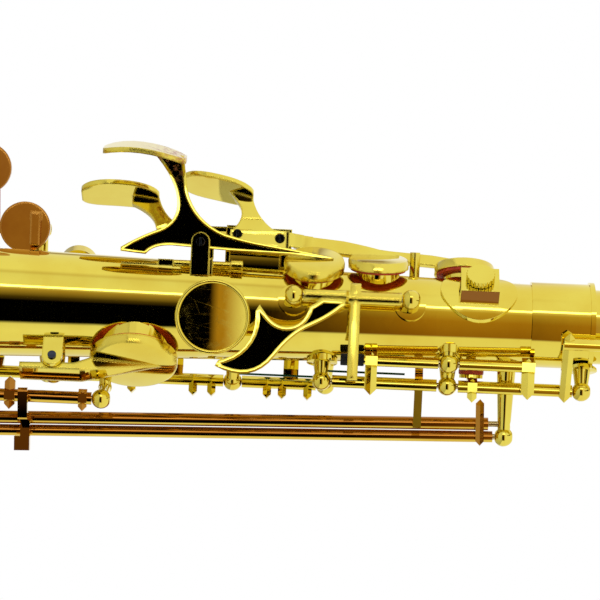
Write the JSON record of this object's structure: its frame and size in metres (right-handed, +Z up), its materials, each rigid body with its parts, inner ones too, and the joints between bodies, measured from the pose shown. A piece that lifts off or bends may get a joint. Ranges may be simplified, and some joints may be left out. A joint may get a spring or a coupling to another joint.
{
  "type": "baritone saxophone",
  "caption": "Baritone saxophone of lacquered brass with a looped upper bow, keyed conical body, bottom bow and flared bell.",
  "frame": {"origin": "centre of the strap ring's hole", "axes": "+Z up along the body tube, +Y towards the bell, the player at -Y with the left hand at -X"},
  "size_m": [0.1784, 0.3404, 1.0761],
  "materials": {
    "lacquered_brass": "polished, clear gold lacquer",
    "steel": "polished",
    "blued_steel": "blued spring steel",
    "pad_leather": "smooth red leather",
    "cork": "sanded cork",
    "ebonite": "polished black hard rubber",
    "cane": "smooth cane",
    "felt": "pressed felt"
  },
  "bodies": {
    "body": {"body_tube": "lacquered_brass", "bottom_bow": "lacquered_brass", "bell": "lacquered_brass", "bell_brace": "lacquered_brass", "ferrules": "lacquered_brass", "collar": "lacquered_brass", "upper_bow": "lacquered_brass", "neck_receiver": "lacquered_brass", "neck": "lacquered_brass", "neck_cork": "cork", "mouthpiece": "ebonite", "ligature": "lacquered_brass", "reed": "cane", "ball_posts": "lacquered_brass", "key_brackets": "lacquered_brass", "hinge_rods": "steel", "pivot_screws": "steel", "needle_springs": "blued_steel", "thumb_rest": "lacquered_brass", "thumb_hook": "lacquered_brass", "strap_ring": "lacquered_brass", "lyre_holder": "lacquered_brass", "key_guards": "lacquered_brass", "guard_felts": "felt"},
    "lyre_screw": {"lyre_screw": "lacquered_brass"},
    "neck_screw": {"neck_screw": "lacquered_brass"},
    "palm_d": {"palm_d_key": "lacquered_brass", "palm_d_pad": "pad_leather"},
    "palm_eb": {"palm_eb_key": "lacquered_brass", "palm_eb_pad": "pad_leather"},
    "palm_f": {"palm_f_key": "lacquered_brass", "palm_f_pad": "pad_leather"},
    "octave_lever": {"octave_thumb_lever": "lacquered_brass"},
    "octave_rocker": {"octave_rocker": "lacquered_brass"},
    "octave_link": {"octave_link": "lacquered_brass"},
    "octave_vent": {"octave_vent_key": "lacquered_brass"},
    "side_key_transfer": {"side_key_transfer": "lacquered_brass"},
    "side_c_key": {"side_c_key": "lacquered_brass", "side_c_pad": "pad_leather"},
    "side_c_lever": {"side_c_lever": "lacquered_brass"},
    "side_bb_lever": {"side_bb_lever": "lacquered_brass"},
    "side_trill": {"side_trill_lever": "lacquered_brass"},
    "front_f": {"front_f_key": "lacquered_brass"},
    "upper_c": {"upper_c_key": "lacquered_brass"},
    "upper_b": {"upper_b_key": "lacquered_brass"},
    "upper_a": {"upper_a_key": "lacquered_brass"},
    "upper_g": {"upper_g_key": "lacquered_brass"},
    "lower_f": {"lower_f_key": "lacquered_brass"},
    "lower_e": {"lower_e_key": "lacquered_brass"},
    "lower_d": {"lower_d_key": "lacquered_brass"},
    "g_sharp": {"g_sharp_key": "lacquered_brass"},
    "low_eb": {"low_eb_key": "lacquered_brass"},
    "low_c": {"low_c_key": "lacquered_brass"},
    "low_c_sharp": {"low_c_sharp_key": "lacquered_brass"},
    "low_b": {"low_b_key": "lacquered_brass"},
    "low_bb": {"low_bb_key": "lacquered_brass"},
    "neck_octave": {"neck_octave_key": "lacquered_brass"},
    "water_key": {"water_key": "lacquered_brass"}
  },
  "joints": [
    {"name": "palm_d_hinge", "type": "hinge", "parent": "body", "child": "palm_d", "pos_m": [-0.0288, 0.03126, 0.19], "axis": [0, -1, 0], "range_deg": [0, 6], "stiffness_Nm_per_rad": 0.1, "springref_deg": -20.05},
    {"name": "palm_eb_hinge", "type": "hinge", "parent": "body", "child": "palm_eb", "pos_m": [-0.0318, 0.04476, 0.223], "axis": [0, -1, 0], "range_deg": [0, 7], "stiffness_Nm_per_rad": 0.1, "springref_deg": -20.05},
    {"name": "palm_f_hinge", "type": "hinge", "parent": "body", "child": "palm_f", "pos_m": [-0.0332, 0.05276, 0.205], "axis": [0, -1, 0], "range_deg": [0, 4], "stiffness_Nm_per_rad": 0.1, "springref_deg": -20.05},
    {"name": "octave_lever_hinge", "type": "hinge", "parent": "body", "child": "octave_lever", "pos_m": [-0.0082, 0.01566, 0.255], "axis": [0, 0, 1], "range_deg": [0, 6], "stiffness_Nm_per_rad": 0.1, "springref_deg": -20.05},
    {"name": "octave_rocker_hinge", "type": "hinge", "parent": "body", "child": "octave_rocker", "pos_m": [0.0178, 0.02766, 0.276], "axis": [0, 0, -1], "range_deg": [0, 4.8]},
    {"name": "octave_link_hinge", "type": "hinge", "parent": "body", "child": "octave_link", "pos_m": [0.0178, 0.02766, 0.316], "axis": [0, 0, -1], "range_deg": [0, 4.8]},
    {"name": "octave_vent_hinge", "type": "hinge", "parent": "body", "child": "octave_vent", "pos_m": [0.0273, 0.03366, 0.325], "axis": [0, 0, -1], "range_deg": [0, 2.4]},
    {"name": "side_c_lever_hinge", "type": "hinge", "parent": "body", "child": "side_c_lever", "pos_m": [0.0424, 0.04166, 0.33], "axis": [0.0282, 0, -0.9996], "range_deg": [0, 4], "stiffness_Nm_per_rad": 0.1, "springref_deg": -20.05},
    {"name": "side_bb_lever_hinge", "type": "hinge", "parent": "body", "child": "side_bb_lever", "pos_m": [0.0478, 0.04166, 0.33], "axis": [0.0282, 0, -0.9996], "range_deg": [0, 4], "stiffness_Nm_per_rad": 0.1, "springref_deg": -20.05},
    {"name": "side_c_key_hinge", "type": "hinge", "parent": "body", "child": "side_c_key", "pos_m": [0.02533, 0.02559, 0.1305], "axis": [0.5358, 0.8443, 0], "range_deg": [0, 6]},
    {"name": "side_key_transfer_hinge", "type": "hinge", "parent": "body", "child": "side_key_transfer", "pos_m": [0.0273, 0.03366, 0.27], "axis": [0, 0, 1], "range_deg": [0, 4]},
    {"name": "side_trill_hinge", "type": "hinge", "parent": "body", "child": "side_trill", "pos_m": [0.0388, 0.02976, 0.094], "axis": [0, 0, -1], "range_deg": [0, 4], "stiffness_Nm_per_rad": 0.1, "springref_deg": -20.05},
    {"name": "front_f_hinge", "type": "hinge", "parent": "body", "child": "front_f", "pos_m": [-0.032, 0.06366, 0.11], "axis": [0, 0, -1], "range_deg": [0, 5], "stiffness_Nm_per_rad": 0.1, "springref_deg": -20.05},
    {"name": "upper_c_hinge", "type": "hinge", "parent": "body", "child": "upper_c", "pos_m": [0.03, 0.06566, 0.23], "axis": [0, 0, 1], "range_deg": [0, 8], "stiffness_Nm_per_rad": 0.1, "springref_deg": -20.05},
    {"name": "upper_b_hinge", "type": "hinge", "parent": "body", "child": "upper_b", "pos_m": [0.03, 0.06566, 0.18], "axis": [0, 0, 1], "range_deg": [0, 8], "stiffness_Nm_per_rad": 0.1, "springref_deg": -20.05},
    {"name": "upper_a_hinge", "type": "hinge", "parent": "body", "child": "upper_a", "pos_m": [0.03, 0.06566, 0.102], "axis": [0, 0, 1], "range_deg": [0, 8], "stiffness_Nm_per_rad": 0.1, "springref_deg": -20.05},
    {"name": "upper_g_hinge", "type": "hinge", "parent": "body", "child": "upper_g", "pos_m": [0.03, 0.06566, 0.03], "axis": [0, 0, 1], "range_deg": [0, 8], "stiffness_Nm_per_rad": 0.1, "springref_deg": -20.05},
    {"name": "lower_f_hinge", "type": "hinge", "parent": "body", "child": "lower_f", "pos_m": [0.04, 0.07366, -0.08], "axis": [0, 0, 1], "range_deg": [0, 8], "stiffness_Nm_per_rad": 0.1, "springref_deg": -20.05},
    {"name": "lower_e_hinge", "type": "hinge", "parent": "body", "child": "lower_e", "pos_m": [0.04, 0.07366, -0.16], "axis": [0, 0, 1], "range_deg": [0, 8], "stiffness_Nm_per_rad": 0.1, "springref_deg": -20.05},
    {"name": "lower_d_hinge", "type": "hinge", "parent": "body", "child": "lower_d", "pos_m": [0.04, 0.07366, -0.24], "axis": [0, 0, 1], "range_deg": [0, 8], "stiffness_Nm_per_rad": 0.1, "springref_deg": -20.05},
    {"name": "low_c_hinge", "type": "hinge", "parent": "body", "child": "low_c", "pos_m": [0.046, 0.07766, -0.36], "axis": [0, 0, 1], "range_deg": [0, 8], "stiffness_Nm_per_rad": 0.1, "springref_deg": -20.05},
    {"name": "g_sharp_hinge", "type": "hinge", "parent": "body", "child": "g_sharp", "pos_m": [-0.03184, 0.06005, -0.038], "axis": [0, 0, -1], "range_deg": [0, 7], "stiffness_Nm_per_rad": 0.1, "springref_deg": -20.05},
    {"name": "low_eb_hinge", "type": "hinge", "parent": "body", "child": "low_eb", "pos_m": [0.02491, -0.00132, -0.31], "axis": [0, 0, -1], "range_deg": [0, 7], "stiffness_Nm_per_rad": 0.1, "springref_deg": -20.05},
    {"name": "low_c_sharp_hinge", "type": "hinge", "parent": "body", "child": "low_c_sharp", "pos_m": [0.04703, 0.13528, -0.385], "axis": [0, 0, -1], "range_deg": [0, 7], "stiffness_Nm_per_rad": 0.1, "springref_deg": -20.05},
    {"name": "low_b_hinge", "type": "hinge", "parent": "body", "child": "low_b", "pos_m": [0.02185, 0.11476, -0.31], "axis": [0, 0, 1], "range_deg": [0, 8], "stiffness_Nm_per_rad": 0.1, "springref_deg": -20.05},
    {"name": "low_bb_hinge", "type": "hinge", "parent": "body", "child": "low_bb", "pos_m": [0.01382, 0.11023, -0.21], "axis": [0, 0, 1], "range_deg": [0, 8], "stiffness_Nm_per_rad": 0.1, "springref_deg": -20.05},
    {"name": "neck_octave_hinge", "type": "hinge", "parent": "body", "child": "neck_octave", "pos_m": [0, 0.05338, 0.49555], "axis": [1, 0, 0], "range_deg": [0, 6], "stiffness_Nm_per_rad": 0.05, "springref_deg": -20.05},
    {"name": "water_key_hinge", "type": "hinge", "parent": "body", "child": "water_key", "pos_m": [0, 0.16766, 0.316], "axis": [1, 0, 0], "range_deg": [0, 10], "stiffness_Nm_per_rad": 0.05, "springref_deg": -20.05},
    {"name": "lyre_screw_turn", "type": "hinge", "parent": "body", "child": "lyre_screw", "pos_m": [-0.01791, 0.02437, 0.3075], "axis": [-0.7193, -0.6947, 0], "continuous": true},
    {"name": "neck_screw_turn", "type": "hinge", "parent": "body", "child": "neck_screw", "pos_m": [0, 0.19636, 0.402], "axis": [1, 0, 0], "continuous": true}
  ],
  "couplings": [
    {"joint": "octave_rocker_hinge", "follows": "octave_lever_hinge", "ratio": 0.8},
    {"joint": "octave_link_hinge", "follows": "octave_lever_hinge", "ratio": 0.8},
    {"joint": "octave_vent_hinge", "follows": "octave_lever_hinge", "ratio": 0.4},
    {"joint": "side_c_key_hinge", "follows": "side_c_lever_hinge", "ratio": 1.5},
    {"joint": "side_key_transfer_hinge", "follows": "side_bb_lever_hinge", "ratio": 1}
  ]
}
